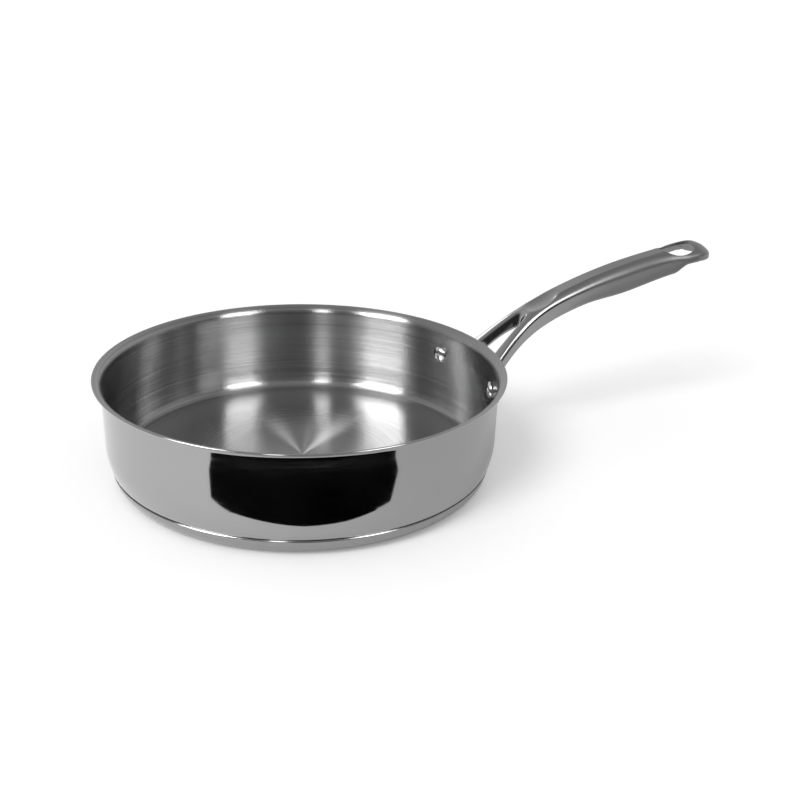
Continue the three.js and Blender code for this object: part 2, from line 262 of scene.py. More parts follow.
def brushed_steel(look):
    """Stainless steel brushed round the inside of the wall.

    The brush lines spread a lamp into an upright streak. Real lines are a tenth of a millimetre
    apart, and are drawn coarser so that they show."""
    material, tree = begin("brushed_stainless_steel")
    marks = turning_marks(tree, round_pan=5, across=0.55 * MM)
    tone = add(tree, "ShaderNodeMapRange", {"Value": marks.outputs["Fac"], **NOISE_SPAN,
                                            "To Min": 0.62, "To Max": 1.05})
    tint = add(tree, "ShaderNodeMix", {"Factor": 1.0, "A": look.brushed, "B": tone.outputs[0]},
               data_type="RGBA", blend_type="MULTIPLY")
    grain = add(tree, "ShaderNodeMapRange", {"Value": marks.outputs["Fac"], **NOISE_SPAN,
                                             "To Min": 0.22, "To Max": 0.27})
    bump = add(tree, "ShaderNodeBump", {"Height": marks.outputs["Fac"], "Strength": 0.08,
                                        "Distance": 0.02 * MM})
    steel = add(tree, "ShaderNodeBsdfPrincipled",
                {"Base Color": tint.outputs["Result"], "Metallic": 1.0,
                 "Roughness": grain.outputs[0], "Anisotropic": 1.0, "Anisotropic Rotation": 0.25,
                 "Tangent": round_axis(tree).outputs[0], "Normal": bump.outputs[0]})
    add(tree, "ShaderNodeOutputMaterial", {"Surface": steel.outputs[0]})
    return material


def spun_steel(look):
    """Stainless steel faced on a lathe, on the cooking floor and under the base.

    Most of it is even enough to mirror the wall softly. Round the middle the rings are tight and
    deep, and turn a lamp into bright wedges that meet at the axis. Real rings are a tenth of a
    millimetre apart, and are drawn coarser so that they show."""
    material, tree = begin("spun_stainless_steel")
    marks = turning_marks(tree, round_pan=9, across=0.8 * MM)
    tone = add(tree, "ShaderNodeMapRange", {"Value": marks.outputs["Fac"], **NOISE_SPAN,
                                            "To Min": 0.88, "To Max": 1.0})
    tint = add(tree, "ShaderNodeMix", {"Factor": 1.0, "A": look.spun, "B": tone.outputs[0]},
               data_type="RGBA", blend_type="MULTIPLY")
    bump = add(tree, "ShaderNodeBump", {"Height": marks.outputs["Fac"], "Strength": 0.08,
                                        "Distance": 0.02 * MM})
    shared = {"Base Color": tint.outputs["Result"], "Metallic": 1.0,
              "Anisotropic Rotation": 0.25, "Tangent": round_axis(tree).outputs[0],
              "Normal": bump.outputs[0]}
    even = add(tree, "ShaderNodeBsdfPrincipled",
               {"Roughness": 0.2, "Anisotropic": 0.4, **shared})
    deep = add(tree, "ShaderNodeBsdfPrincipled",
               {"Roughness": 0.38, "Anisotropic": 1.0, **shared})
    place = add(tree, "ShaderNodeTexCoord").outputs["Object"]
    flat = add(tree, "ShaderNodeVectorMath", {0: place, 1: (1, 1, 0)}, operation="MULTIPLY")
    radius = add(tree, "ShaderNodeVectorMath", {0: flat.outputs[0]}, operation="LENGTH")
    ragged = add(tree, "ShaderNodeMapRange", {"Value": marks.outputs["Fac"], "To Min": -25 * MM,
                                              "To Max": 25 * MM})
    edge = add(tree, "ShaderNodeMath", {0: radius.outputs["Value"], 1: ragged.outputs[0]})
    middle = add(tree, "ShaderNodeMapRange",
                 {"Value": edge.outputs[0], "From Min": 30 * MM, "From Max": 85 * MM,
                  "To Min": 0.75, "To Max": 0.1}, interpolation_type="SMOOTHSTEP")
    steel = add(tree, "ShaderNodeMixShader", {0: middle.outputs[0], 1: even.outputs[0],
                                              2: deep.outputs[0]})
    add(tree, "ShaderNodeOutputMaterial", {"Surface": steel.outputs[0]})
    return material


def cap_steel(look):
    """Stainless steel of the pressed base cap, buffed on its side."""
    material, tree = begin("buffed_cap_steel")
    marks = turning_marks(tree, round_pan=24, across=0.8 * MM)
    haze = add(tree, "ShaderNodeMapRange", {"Value": marks.outputs["Fac"], **NOISE_SPAN,
                                            "To Min": 0.1, "To Max": 0.18})
    steel = add(tree, "ShaderNodeBsdfPrincipled",
                {"Base Color": look.cap, "Metallic": 1.0, "Roughness": haze.outputs[0]})
    add(tree, "ShaderNodeOutputMaterial", {"Surface": steel.outputs[0]})
    return material


def cast_steel(look):
    """Cast stainless steel, polished on the prongs and blasted satin on the grip.

    Blasting grit of a quarter millimetre leaves an even, soft sheen. Its specks are drawn 0.6 mm
    wide, so that they show."""
    material, tree = begin("cast_stainless_steel")
    place = add(tree, "ShaderNodeTexCoord").outputs["Object"]
    grit = add(tree, "ShaderNodeTexNoise", {"Vector": place, "Scale": 1 / (0.6 * MM),
                                            "Detail": 2.0})
    out = add(tree, "ShaderNodeSeparateXYZ", {0: place})
    blasted = add(tree, "ShaderNodeMapRange",
                  {"Value": out.outputs["X"], "From Min": 150 * MM, "From Max": 235 * MM},
                  interpolation_type="SMOOTHSTEP")
    satin = add(tree, "ShaderNodeMapRange", {"Value": blasted.outputs[0], "To Min": 0.1,
                                             "To Max": 0.4})
    tint = add(tree, "ShaderNodeMix", {"Factor": blasted.outputs[0], "A": look.prong,
                                       "B": look.grip}, data_type="RGBA")
    speck = add(tree, "ShaderNodeMapRange", {"Value": grit.outputs["Fac"], **NOISE_SPAN,
                                             "To Min": 0.92, "To Max": 1.08})
    sheen = add(tree, "ShaderNodeMath", {0: satin.outputs[0], 1: speck.outputs[0]},
                operation="MULTIPLY")
    steel = add(tree, "ShaderNodeBsdfPrincipled",
                {"Base Color": tint.outputs["Result"], "Metallic": 1.0,
                 "Roughness": sheen.outputs[0]})
    add(tree, "ShaderNodeOutputMaterial", {"Surface": steel.outputs[0]})
    return material


def rivet_steel(look):
    """Stainless steel wire, headed and tumbled bright, with small dents from the die."""
    material, tree = begin("tumbled_rivet_steel")
    place = add(tree, "ShaderNodeTexCoord").outputs["Object"]
    dents = add(tree, "ShaderNodeTexNoise", {"Vector": place, "Scale": 1 / (3 * MM)})
    haze = add(tree, "ShaderNodeMapRange", {"Value": dents.outputs["Fac"], **NOISE_SPAN,
                                            "To Min": 0.06, "To Max": 0.12})
    bump = add(tree, "ShaderNodeBump", {"Height": dents.outputs["Fac"], "Strength": 0.4,
                                        "Distance": 0.1 * MM})
    steel = add(tree, "ShaderNodeBsdfPrincipled",
                {"Base Color": look.rivet, "Metallic": 1.0, "Roughness": haze.outputs[0],
                 "Normal": bump.outputs[0]})
    add(tree, "ShaderNodeOutputMaterial", {"Surface": steel.outputs[0]})
    return material


def core_aluminium(look):
    """Rolled aluminium sheet of the heat spreader, matt from bonding."""
    material, tree = begin("rolled_aluminium")
    place = add(tree, "ShaderNodeTexCoord").outputs["Object"]
    cloud = add(tree, "ShaderNodeTexNoise", {"Vector": place, "Scale": 1 / (6 * MM)})
    matt = add(tree, "ShaderNodeMapRange", {"Value": cloud.outputs["Fac"], **NOISE_SPAN,
                                            "To Min": 0.4, "To Max": 0.55})
    metal = add(tree, "ShaderNodeBsdfPrincipled",
                {"Base Color": look.core, "Metallic": 1.0, "Roughness": matt.outputs[0]})
    add(tree, "ShaderNodeOutputMaterial", {"Surface": metal.outputs[0]})
    return material


def arc(centre, radius, start, end, steps):
    """Points on an arc in the profile plane."""
    turn = np.linspace(start, end, steps)
    return np.column_stack([centre[0] + radius * np.cos(turn), centre[1] + radius * np.sin(turn)])


def spaced(points, pitch):
    """The same profile with no step longer than pitch."""
    kept = [points[0]]
    for point in points[1:]:
        run = np.linalg.norm(point - kept[-1])
        if run < TINY:
            continue
        count = max(1, math.ceil(run / pitch))
        start = kept[-1]
        kept += [start + (point - start) * i / count for i in range(1, count + 1)]
    return np.array(kept)


class BodyProfile:
    """Arcs of the body's profile, each tangent to the next, and of the cap under it."""

    def __init__(self, size):
        self.size = size
        self.lip_end = math.pi - size.draft - size.lip_sweep
        self.lip_along = np.array([math.sin(self.lip_end), -math.cos(self.lip_end)])
        self.lip_across = np.array([math.cos(self.lip_end), math.sin(self.lip_end)])
        middle = size.lip_radius + size.sheet / 2
        rise = middle * self.lip_across[1] + size.lip_flange * self.lip_along[1]
        self.lip_start = size.height - size.sheet / 2 - rise
        self.lip_centre = np.array([size.wall_radius + size.lip_radius, self.lip_start])
        self.floor_lift = size.cap_sheet + size.core_thickness + 2 * size.fit_gap
        lean = self.wall_at(size.belly_start)
        self.belly = np.array([lean - size.belly_radius * math.cos(size.draft),
                               size.belly_start + size.belly_radius * math.sin(size.draft)])
        corner_rise = self.floor_lift + size.corner_radius
        reach = size.belly_radius - size.corner_radius
        self.turn = math.asin((self.belly[1] - corner_rise) / reach)
        self.corner = np.array([self.belly[0] + reach * math.cos(self.turn), corner_rise])
        seam = self.corner + size.corner_radius * np.array(
            [math.cos(size.seam_angle), -math.sin(size.seam_angle)])
        self.cap_radius = seam[1] - size.fit_gap
        self.cap_centre = np.array([seam[0] - self.cap_radius, self.cap_radius])

    def wall_at(self, height):
        """Outside radius of the straight wall at a height."""
        return self.size.wall_radius - (self.lip_start - height) * math.tan(self.size.draft)

    def side(self, inset):
        """One side of the sheet from the middle of the floor to the lip's edge."""
        size = self.size
        lip = size.lip_radius + inset
        end = self.lip_centre + self.lip_across * lip + self.lip_along * size.lip_flange
        return np.vstack([
            [[0, self.floor_lift + inset]],
            arc(self.corner, size.corner_radius - inset, -math.pi / 2, -self.turn, CORNER_STEPS),
            arc(self.belly, size.belly_radius - inset, -self.turn, -size.draft, BELLY_STEPS),
            arc(self.lip_centre, lip, math.pi - size.draft, self.lip_end, LIP_STEPS),
            [end],
        ])

    def shell(self):
        """The whole profile, from the cooking floor over the lip to the underside."""
        size = self.size
        centre = self.lip_centre + self.lip_across * (size.lip_radius + size.sheet / 2)
        edge = centre + self.lip_along * size.lip_flange
        rolled = arc(edge, size.sheet / 2, self.lip_end, self.lip_end - math.pi, ROLL_STEPS)
        return [spaced(part, PROFILE_PITCH) for part in
                (self.side(size.sheet), rolled, self.side(0)[::-1])]

    def cap(self):
        """The base cap's profile, from the middle of its inside to the middle of its underside."""
        parts = []
        for inset in (self.size.cap_sheet, 0):
            radius = self.cap_radius - inset
            gap = self.corner - self.cap_centre
            reach = np.linalg.norm(gap)
            stop = self.size.corner_radius + self.size.fit_gap
            along = (reach * reach + radius * radius - stop * stop) / (2 * reach)
            across = math.sqrt(radius * radius - along * along)
            unit = gap / reach
            edge = unit * along + np.array([unit[1], -unit[0]]) * across
            finish = math.atan2(edge[1], edge[0])
            parts.append(np.vstack([[[0, inset]],
                                    arc(self.cap_centre, radius, -math.pi / 2, finish, CAP_STEPS)]))
        return [spaced(parts[0], PROFILE_PITCH), spaced(parts[1][::-1], PROFILE_PITCH)]


def turned_tree(finishes):
    """Geometry nodes that turn a profile round the Z axis.

    Each finish covers the rows of faces from its own row to the next one's."""
    tree = bpy.data.node_groups.new("turned_piece", "GeometryNodeTree")
    tree.interface.new_socket("Profile", in_out="INPUT", socket_type="NodeSocketGeometry")
    tree.interface.new_socket("Steps Round", in_out="INPUT", socket_type="NodeSocketInt")
    for i in range(finishes):
        tree.interface.new_socket(f"Finish {i + 1}", in_out="INPUT",
                                  socket_type="NodeSocketMaterial")
        tree.interface.new_socket(f"Finish {i + 1} Row", in_out="INPUT",
                                  socket_type="NodeSocketInt")
    tree.interface.new_socket("Piece", in_out="OUTPUT", socket_type="NodeSocketGeometry")
    given = add(tree, "NodeGroupInput").outputs
    points = add(tree, "GeometryNodeAttributeDomainSize", {0: given["Profile"]})
    columns = add(tree, "ShaderNodeMath", {0: given["Steps Round"], 1: 1.0})
    grid = add(tree, "GeometryNodeMeshGrid", {"Vertices X": points.outputs["Point Count"],
                                              "Vertices Y": columns.outputs[0]})
    index = add(tree, "GeometryNodeInputIndex").outputs[0]
    share = add(tree, "ShaderNodeMath", {0: index, 1: columns.outputs[0]}, operation="DIVIDE")
    row = add(tree, "ShaderNodeMath", {0: share.outputs[0]}, operation="FLOOR")
    column = add(tree, "ShaderNodeMath", {0: index, 1: columns.outputs[0]}, operation="MODULO")
    position = add(tree, "GeometryNodeInputPosition").outputs[0]
    point = add(tree, "GeometryNodeSampleIndex",
                {"Geometry": given["Profile"], "Value": position, "Index": row.outputs[0]},
                data_type="FLOAT_VECTOR")
    step = add(tree, "ShaderNodeMath", {0: math.tau, 1: given["Steps Round"]}, operation="DIVIDE")
    turn = add(tree, "ShaderNodeMath", {0: column.outputs[0], 1: step.outputs[0]},
               operation="MULTIPLY")
    placed = add(tree, "ShaderNodeVectorRotate", {"Vector": point.outputs[0],
                                                  "Angle": turn.outputs[0]},
                 rotation_type="Z_AXIS")
    shaped = add(tree, "GeometryNodeSetPosition",
                 {"Geometry": grid.outputs["Mesh"], "Position": placed.outputs[0]})
    face_share = add(tree, "ShaderNodeMath", {0: index, 1: given["Steps Round"]},
                     operation="DIVIDE")
    face_row = add(tree, "ShaderNodeMath", {0: face_share.outputs[0]}, operation="FLOOR")
    marked = add(tree, "GeometryNodeStoreNamedAttribute",
                 {"Geometry": shaped.outputs[0], "Name": "profile_row",
                  "Value": face_row.outputs[0]}, data_type="INT", domain="FACE")
    welded = add(tree, "GeometryNodeMergeByDistance", {"Geometry": marked.outputs[0],
                                                       "Distance": 0.002 * MM})
    smooth = add(tree, "GeometryNodeSetShadeSmooth", {"Geometry": welded.outputs[0]})
    made = add(tree, "GeometryNodeRealizeInstances", {"Geometry": smooth.outputs[0]})
    kept_row = add(tree, "GeometryNodeInputNamedAttribute", {"Name": "profile_row"},
                   data_type="INT").outputs["Attribute"]
    for i in range(finishes):
        chosen = add(tree, "FunctionNodeCompare",
                     {"A": kept_row, "B": given[f"Finish {i + 1} Row"]},
                     data_type="INT", operation="GREATER_EQUAL")
        made = add(tree, "GeometryNodeSetMaterial",
                   {"Geometry": made.outputs[0], "Selection": chosen.outputs[0],
                    "Material": given[f"Finish {i + 1}"]})
    add(tree, "NodeGroupOutput", {"Piece": made.outputs[0]})
    return tree


def grown(name, mesh, tree, values):
    """Runs geometry nodes on a mesh with named inputs, and keeps the result as a plain mesh."""
    seed = bpy.data.objects.new(name + "_seed", mesh)
    bpy.context.scene.collection.objects.link(seed)
    modifier = seed.modifiers.new(name, "NODES")
    modifier.node_group = tree
    sockets = {item.name: item.identifier for item in tree.interface.items_tree
               if item.in_out == "INPUT"}
    for key, value in values.items():
        modifier[sockets[key]] = value
    bpy.context.view_layer.update()
    graph = bpy.context.evaluated_depsgraph_get()
    plain = bpy.data.meshes.new_from_object(seed.evaluated_get(graph), depsgraph=graph)
    plain.name = name
    bpy.data.objects.remove(seed)
    made = bpy.data.objects.new(name, plain)
    bpy.context.scene.collection.objects.link(made)
    return made


def profile_mesh(name, parts):
    """A chain of edges through the points of a profile, with radius along X."""
    points = np.vstack(parts)
    step = np.linalg.norm(np.diff(points, axis=0), axis=1)
    points = points[np.concatenate([[True], step > TINY])]
    mesh = bpy.data.meshes.new(name)
    mesh.from_pydata([(r, 0, z) for r, z in points],
                     [(i, i + 1) for i in range(len(points) - 1)], [])
    return mesh


def seat(piece, slot, *nodes):
    """Lets a finished piece stand for its solids and move with them."""
    if not len(piece.data.polygons):
        raise RuntimeError(f"{piece.name} has no faces")
    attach(piece, "root")
    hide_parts(*nodes)


class PAN_OT_body(bpy.types.Operator):
    """Turn the drawn body with its belly, lip and cooking floor"""

    bl_idname = "pan.body"
    bl_label = "Pan Body"

    def execute(self, context):
        scene = context.scene
        size, look = scene.pan_sizes, scene.pan_finishes
        profile = BodyProfile(size)
        inside, rolled, outside = profile.shell()
        floor_rows = int(np.sum(inside[:, 0] < profile.corner[0] + FLOOR_MARGIN)) - 1
        lip_rows = len(inside) - 1
        values = {"Steps Round": size.steps_round,
                  "Finish 1": spun_steel(look), "Finish 1 Row": 0,
                  "Finish 2": brushed_steel(look), "Finish 2 Row": floor_rows,
                  "Finish 3": polished_steel(look), "Finish 3 Row": lip_rows}
        mesh = profile_mesh("body_profile", [inside, rolled, outside])
        piece = grown("drawn_body", mesh, turned_tree(3), values)
        seat(piece, "body_steel", "pan_body")
        return {"FINISHED"}


class PAN_OT_base(bpy.types.Operator):
    """Turn the base cap and finish the heat spreader inside it"""

    bl_idname = "pan.base"
    bl_label = "Bonded Base"

    def execute(self, context):
        scene = context.scene
        size, look = scene.pan_sizes, scene.pan_finishes
        profile = BodyProfile(size)
        within, under = profile.cap()
        side_rows = int(np.sum(under[:, 0] > profile.cap_centre[0] + SIDE_MARGIN))
        values = {"Steps Round": size.steps_round,
                  "Finish 1": cap_steel(look), "Finish 1 Row": 0,
                  "Finish 2": spun_steel(look), "Finish 2 Row": len(within) + side_rows}
        mesh = profile_mesh("cap_profile", [within, under])
        piece = grown("pressed_cap", mesh, turned_tree(2), values)
        seat(piece, "cap_steel", "base_cap")
        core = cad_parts["base_core"]
        core.data.materials.clear()
        core.data.materials.append(core_aluminium(look))
        return {"FINISHED"}


def rivet_tree():
    """Geometry nodes that set a copy of a rivet on each side of the handle."""
    tree = bpy.data.node_groups.new("rivet_pair", "GeometryNodeTree")
    for name, kind in (("Rivet", "Geometry"), ("Angle", "Float"), ("Height", "Float"),
                       ("Finish", "Material")):
        tree.interface.new_socket(name, in_out="INPUT", socket_type="NodeSocket" + kind)
    tree.interface.new_socket("Piece", in_out="OUTPUT", socket_type="NodeSocketGeometry")
    given = add(tree, "NodeGroupInput").outputs
    middle = add(tree, "ShaderNodeCombineXYZ", {"Z": given["Height"]})
    spots = add(tree, "GeometryNodeMeshLine", {"Count": 2, "Start Location": middle.outputs[0],
                                               "Offset": (0, 0, 0)})
    index = add(tree, "GeometryNodeInputIndex").outputs[0]
    side = add(tree, "ShaderNodeMath", {0: index, 1: 2.0, 2: -1.0}, operation="MULTIPLY_ADD")
    turn = add(tree, "ShaderNodeMath", {0: side.outputs[0], 1: given["Angle"]},
               operation="MULTIPLY")
    facing = add(tree, "ShaderNodeCombineXYZ", {"Z": turn.outputs[0]})
    copies = add(tree, "GeometryNodeInstanceOnPoints",
                 {"Points": spots.outputs[0], "Instance": given["Rivet"],
                  "Rotation": facing.outputs[0]})
    made = add(tree, "GeometryNodeRealizeInstances", {"Geometry": copies.outputs[0]})
    smooth = add(tree, "GeometryNodeSetShadeSmooth", {"Geometry": made.outputs[0]})
    done = add(tree, "GeometryNodeSetMaterial", {"Geometry": smooth.outputs[0],
                                                 "Material": given["Finish"]})
    add(tree, "NodeGroupOutput", {"Piece": done.outputs[0]})
    return tree


class PAN_OT_rivets(bpy.types.Operator):
    """Head the rivets that hold the handle's feet to the wall"""

    bl_idname = "pan.rivets"
    bl_label = "Rivets"

    def execute(self, context):
        scene = context.scene
        size, handle, look = scene.pan_sizes, scene.pan_handle, scene.pan_finishes
        profile = BodyProfile(size)
        height = size.height - size.rivet_drop
        wall = profile.wall_at(height)
        curve = size.rivet_head ** 2 / (2 * wall) + size.rivet_head * math.tan(size.draft)
        inner = wall - size.sheet - size.fit_gap - curve
        outer = wall + handle.foot + 2 * size.fit_gap
        bend = np.linspace(0, math.pi / 2, DOME_STEPS)
        dome = np.column_stack([size.rivet_head * np.cos(bend),
                                inner - size.rivet_dome * np.sin(bend)])
        head = np.column_stack([size.outer_head * np.sin(bend),
                                outer + size.outer_dome * np.cos(bend)])
        shank = np.array([[size.rivet_shank, outer], [size.rivet_shank, inner]])
        finish = rivet_steel(look)
        values = {"Steps Round": RIVET_STEPS, "Finish 1": finish, "Finish 1 Row": 0}
        mesh = profile_mesh("rivet_profile", [head, shank, dome])
        blank = grown("rivet_blank", mesh, turned_tree(1), values)
        blank.data.transform(Matrix.Rotation(math.pi / 2, 4, "Y"))
        piece = grown("rivets", blank.data, rivet_tree(),
                      {"Angle": size.rivet_angle, "Height": height, "Finish": finish})
        bpy.data.objects.remove(blank)
        seat(piece, "rivet_steel", "rivet_left", "rivet_right")
        return {"FINISHED"}


# Sections across the handle, in millimetres, each at a distance out from the wall. rise is above
# the rivets. strip, ridge and edge are half widths; sag, depth and keel are drops below the crown.
# groove is how deep the side is hollowed, bevel the flat along the ridge, and soft how far the
# ridge is rounded.
SECTIONS = {
    "wall_foot": dict(out=-8, rise=0.5, strip=15, ridge=29, edge=28, sag=2,
                      depth=14, keel=3, groove=0.3, bevel=2.6, soft=1),
    "fork_mouth": dict(out=10, rise=16, strip=11.2, ridge=20.8, edge=19.8, sag=1.7,
                       depth=13, keel=4.5, groove=0.3, bevel=2.6, soft=1),
    "fork_waist": dict(out=24, rise=27.4, strip=7.8, ridge=16, edge=15, sag=1.6,
                       depth=12.7, keel=5.5, groove=0.3, bevel=2.6, soft=1),
    "fork_root": dict(out=36, rise=35.9, strip=5.2, ridge=12.6, edge=12, sag=1.9,
                      depth=13.6, keel=9, groove=0.3, bevel=2.4, soft=1),
    "thumb_rest": dict(out=50, rise=43.8, strip=5, ridge=10.8, edge=10.7, sag=3.1,
                       depth=14.3, keel=12.8, groove=0.3, bevel=1.8, soft=1),
    "grip_neck": dict(out=78, rise=54, strip=4.6, ridge=10.2, edge=10.7, sag=3.6,
                      depth=14.8, keel=13.6, groove=0.3, bevel=1.2, soft=1.5),
    "grip_middle": dict(out=108, rise=61.7, strip=4.6, ridge=10.6, edge=11.5, sag=3.5,
                        depth=17.4, keel=15.5, groove=0.3, bevel=0.5, soft=3),
    "grip_end": dict(out=146, rise=68.5, strip=4, ridge=11.2, edge=12.3, sag=3.3,
                     depth=15.5, keel=13, groove=0.2, bevel=0, soft=3),
    "hanging_hole": dict(out=161, rise=70.9, strip=3, ridge=14.6, edge=15.2, sag=4.7,
                         depth=14.4, keel=12.5, groove=0.1, bevel=0, soft=2),
    "tail": dict(out=184.1, rise=73, strip=2.5, ridge=15.4, edge=16, sag=4.9,
                 depth=14.5, keel=12.5, groove=0.1, bevel=0, soft=1.2),
}

# Power of the curve from the strip down to the ridge.
CROWN_BEND = 1.2

# How far, in millimetres, the casting rounds each of its edges, and the fillet round its feet.
LOWER_EDGE_BLEND = 1.6
TIP_BLEND = 1.6
FORK_BLEND = 2.0
THUMB_BLEND = 0.9
HOLE_BLEND = 1.0
FOOT_EDGE_BLEND = 1.6
FOOT_FILLET = 3.0

# Where the tail's hollow has faded out, as a multiple of the distance where it starts.
HOLLOW_FADE = 1.2

# Times that the skin's points are drawn onto the surface, and the least slope that is trusted.
DRAWN_TIMES = 5
LEAST_SLOPE = 0.05


def soft_least(a, b, blend):
    """The lesser of two depths, with their edge rounded over."""
    near = np.maximum(blend - np.abs(a - b), 0) / blend
    return np.minimum(a, b) - near * near * blend / 4


def soft_most(a, b, blend):
    """The greater of two depths, with their corner filled by a fillet."""
    return -soft_least(-a, -b, blend)


def smooth_rise(value, low, high):
    """0 below low, 1 above high and a smooth rise between."""
    share = np.clip((value - low) / (high - low), 0, 1)
    return share * share * (3 - 2 * share)


class Casting:
    """The cast handle as a depth: how far a point lies inside the metal, in millimetres."""

    def __init__(self, size, handle):
        self.profile = BodyProfile(size)
        self.size = size
        self.handle = handle
        self.wall = size.wall_radius / MM
        self.rivet = (size.height - size.rivet_drop) / MM
        rows = list(SECTIONS.values())
        self.outs = np.array([row["out"] for row in rows], float)
        self.fields = {name: np.array([row[name] for row in rows], float)
                       for name in rows[0] if name != "out"}

    def at(self, name, out):
        """A section's size at a distance out, on a smooth curve through the sections."""
        knots, values = self.outs, self.fields[name]
        i = np.clip(np.searchsorted(knots, out) - 1, 0, len(knots) - 2)
        before = np.where(i > 0, i - 1, i + 1)
        after = np.where(i < len(knots) - 2, i + 2, i)
        span = knots[i + 1] - knots[i]
        back = np.where(i > 0, knots[i] - knots[before], span)
        ahead = np.where(i < len(knots) - 2, knots[after] - knots[i + 1], span)
        p = np.clip((out - knots[i]) / span, 0, 1)
        wp, wn = span / 2 / back, span / 2 / ahead
        return (values[before] * (-wp * p ** 3 + 2 * wp * p ** 2 - wp * p)
                + values[i] * ((1 + wp) * p ** 3 - (1.5 + 2 * wp) * p ** 2 + (wp - 0.5) * p + 1)
                + values[i + 1] * (-(1 + wn) * p ** 3 + (1.5 + wn) * p ** 2 + 0.5 * p)
                + values[after] * (wn * p ** 3 - wn * p ** 2))

    def bar(self, out, y, z):
        """The bar with its flat crown, side ridges and hollowed sides."""
        handle = self.handle
        width = np.abs(y)
        size = {name: self.at(name, out) for name in self.fields}
        to_tip = handle.reach / MM - out
        tail = 1 - smooth_rise(to_tip, handle.step_end / MM, handle.step_start / MM)
        droop = np.maximum(0, 1 - to_tip / (handle.droop_length / MM)) ** 2
        crown = self.crown(out) - handle.droop / MM * droop
        lift = handle.step_rise / MM * tail + (handle.droop - handle.under_droop) / MM * droop
        low, keel = size["depth"] - lift, size["keel"] - lift
        grade = 1 / np.hypot(1, self.at("rise", out + 1) - size["rise"])
        facet = np.maximum(0, (width - size["strip"]) / (size["ridge"] - size["strip"]))
        top = (crown - size["sag"] * facet ** CROWN_BEND - z) * grade
        drop = crown - z
        bevel = handle.edge_round / MM
        share = (drop - size["sag"]) / (low - bevel - size["sag"])
        hollow = size["groove"] * np.sin(np.pi * np.clip(share, 0, 1))
        side = size["ridge"] + (size["edge"] - size["ridge"]) * share - hollow - width
        inner = size["edge"] - bevel
        under = keel + (low - keel) * np.clip(width / inner, 0, 1)
        ceiling = size["sag"] * facet ** CROWN_BEND + handle.tail_plate / MM
        skirt = smooth_rise(width, inner - handle.tail_skirt / MM, inner)
        hollow_under = ceiling + (low - ceiling) * skirt
        start, end = handle.hollow_start / MM, handle.hollow_end / MM
        before = 1 - smooth_rise(to_tip, start, HOLLOW_FADE * start)
        hollowed = smooth_rise(to_tip, end / 2, end) * before
        bottom = (under + (hollow_under - under) * hollowed - drop) * grade
        flat = (top + side - size["bevel"]) / math.sqrt(2)
        ridge = soft_least(soft_least(top, side, size["soft"]), flat, size["soft"])
        return soft_least(ridge, bottom, LOWER_EDGE_BLEND)

    def tip(self, out, y):
        """Room inside the rounded outline of the tail in plan."""
        handle = self.handle
        corner = handle.tail_corner / MM
        half = SECTIONS["tail"]["edge"]
        past = out - (handle.reach / MM - corner)
        beside = np.maximum(0, np.abs(y) - (half - corner) - np.maximum(0, -past))
        return corner - np.hypot(np.maximum(0, past), beside)

    def crown(self, out):
        """Height of the handle's crown, without the bend at its tip."""
        return self.rivet + self.at("rise", out)

    def fork(self, out, y, z):
        """Depth inside the tapered gap between the prongs, which opens out upwards."""
        handle = self.handle
        middle = self.crown(out) - handle.fork_middle / MM
        radius = handle.fork_end / MM + math.tan(handle.fork_draft) * (z - middle)
        u, v = out - (handle.fork_reach - handle.fork_end) / MM, np.abs(y)
        lean, rise = math.sin(handle.fork_taper), math.cos(handle.fork_taper)
        return np.where(v * lean - u * rise < 0, radius - np.hypot(u, v),
                        radius - u * lean - v * rise)

    def hole(self, out, y, z):
        """Depth inside the hanging hole, which opens out upwards."""
        handle = self.handle
        middle = self.crown(out) - handle.hole_middle / MM
        radius = handle.hole_radius / MM + math.tan(handle.hole_draft) * (z - middle)
        u = out - (handle.reach - handle.hole_inset) / MM
        u = np.where(u < 0, u * handle.hole_radius / handle.hole_long, u)
        return radius - np.hypot(u, y)

    def thumb(self, out, y, z):
        """Distance outside the oval that hollows the thumb rest."""
        handle = self.handle
        lean, rise = math.sin(handle.thumb_tilt), math.cos(handle.thumb_tilt)
        u, w = out - handle.thumb_out / MM, z - self.rivet - handle.thumb_rise / MM
        radii = [handle.thumb_length / 2 / MM, handle.thumb_width / 2 / MM,
                 handle.thumb_depth / 2 / MM]
        turned = [u * rise + w * lean, y, w * rise - u * lean]
        first = np.sqrt(sum((t / r) ** 2 for t, r in zip(turned, radii)))
        second = np.sqrt(sum((t / r ** 2) ** 2 for t, r in zip(turned, radii)))
        return first * (first - 1) / np.maximum(second, TINY)

    def foot(self, x, y, z):
        """A pad on the wall from the rivet to the end of its prong, the same on both sides."""
        size, handle = self.size, self.handle
        seat_radius = self.profile.wall_at(self.rivet * MM) / MM + size.fit_gap / MM
        radius = np.hypot(x, y)
        turn = np.arctan2(np.abs(y), x) - size.rivet_angle
        along, up = -seat_radius * np.sin(turn), z - self.rivet
        end = np.array([seat_radius * math.sin(size.rivet_angle - handle.foot_prong_angle),
                        -handle.foot_prong_drop / MM])
        share = np.clip((along * end[0] + up * end[1]) / (end @ end), 0, 1)
        wide = handle.foot_rivet_end + (handle.foot_prong_end - handle.foot_rivet_end) * share
        outline = wide / MM - np.hypot(along - share * end[0], up - share * end[1])
        face = seat_radius + handle.foot / MM - radius
        return soft_least(outline, face, FOOT_EDGE_BLEND)

